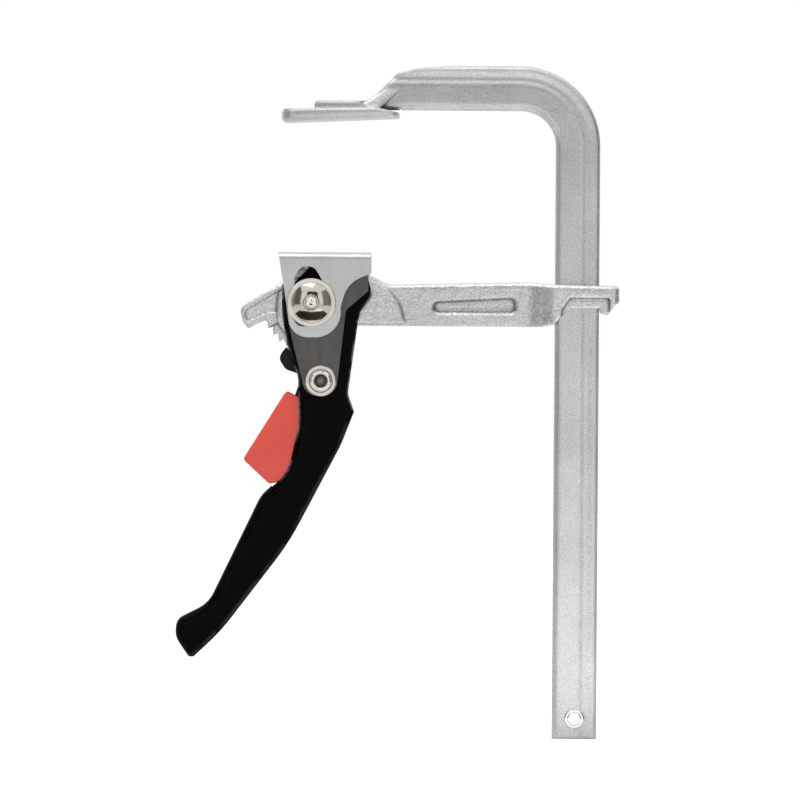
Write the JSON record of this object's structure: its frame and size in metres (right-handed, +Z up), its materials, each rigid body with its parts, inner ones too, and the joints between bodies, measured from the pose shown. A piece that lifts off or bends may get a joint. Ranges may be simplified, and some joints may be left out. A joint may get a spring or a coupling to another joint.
{
  "type": "quick release bar clamp",
  "caption": "One-handed steel bar clamp: a forged bar with a fixed jaw, and a sliding arm whose ratcheting cam lever lifts a pressure plate.",
  "frame": {"origin": "middle of the fixed jaw's face", "axes": "+X from the jaws to the rail, +Z up along the rail, Y across the thickness with the front at -Y"},
  "size_m": [0.1897, 0.0346, 0.2885],
  "materials": {
    "zinc_forging": "fine grained satin zinc plating",
    "zinc_sheet": "satin zinc plating",
    "bright_nickel": "polished",
    "dark_grey_steel": "satin, oiled",
    "black_enamel": "gloss",
    "hardened_steel": "dark, oiled",
    "red_plastic": "gloss",
    "spring_steel": "bright wire"
  },
  "bodies": {
    "bar": {"fixed_bar": "zinc_forging", "stop_pin": "bright_nickel"},
    "arm": {"sliding_arm": "zinc_forging"},
    "lever": {"lever": "black_enamel", "cam_plate_front": "dark_grey_steel", "cam_plate_rear": "dark_grey_steel", "main_pin": "bright_nickel", "main_washer_front": "bright_nickel", "main_washer_rear": "bright_nickel", "main_cap_front": "bright_nickel", "main_cap_rear": "bright_nickel", "pawl_rivet": "bright_nickel", "rivet_washer_front": "bright_nickel", "rivet_washer_rear": "bright_nickel", "pawl_spacer_front": "hardened_steel", "pawl_spacer_rear": "hardened_steel", "pawl_spring": "spring_steel"},
    "plate": {"pressure_plate": "zinc_sheet"},
    "pawl": {"pawl": "hardened_steel", "release_trigger": "red_plastic", "trigger_pin": "hardened_steel"}
  },
  "joints": [
    {"name": "arm_slide", "type": "slide", "parent": "bar", "child": "arm", "axis": [0, 0, 1], "range_m": [-0.1715, 0.0485]},
    {"name": "lever_turn", "type": "hinge", "parent": "arm", "child": "lever", "pos_m": [-0.0119, 0, -0.0787], "axis": [0, -1, 0], "range_deg": [-30, 50]},
    {"name": "plate_lift", "type": "slide", "parent": "arm", "child": "plate", "axis": [0, 0, 1], "range_m": [-0.00394, 0.00656]},
    {"name": "pawl_turn", "type": "hinge", "parent": "lever", "child": "pawl", "pos_m": [-0.0077, 0, -0.1122], "axis": [0, -1, 0], "range_deg": [-4.3, 4.5], "stiffness_Nm_per_rad": 0.4, "springref_deg": -28.65, "deforming": ["pawl_spring"]}
  ],
  "couplings": [
    {"joint": "plate_lift", "follows": "lever_turn", "m_per_rad": 0.0075}
  ]
}
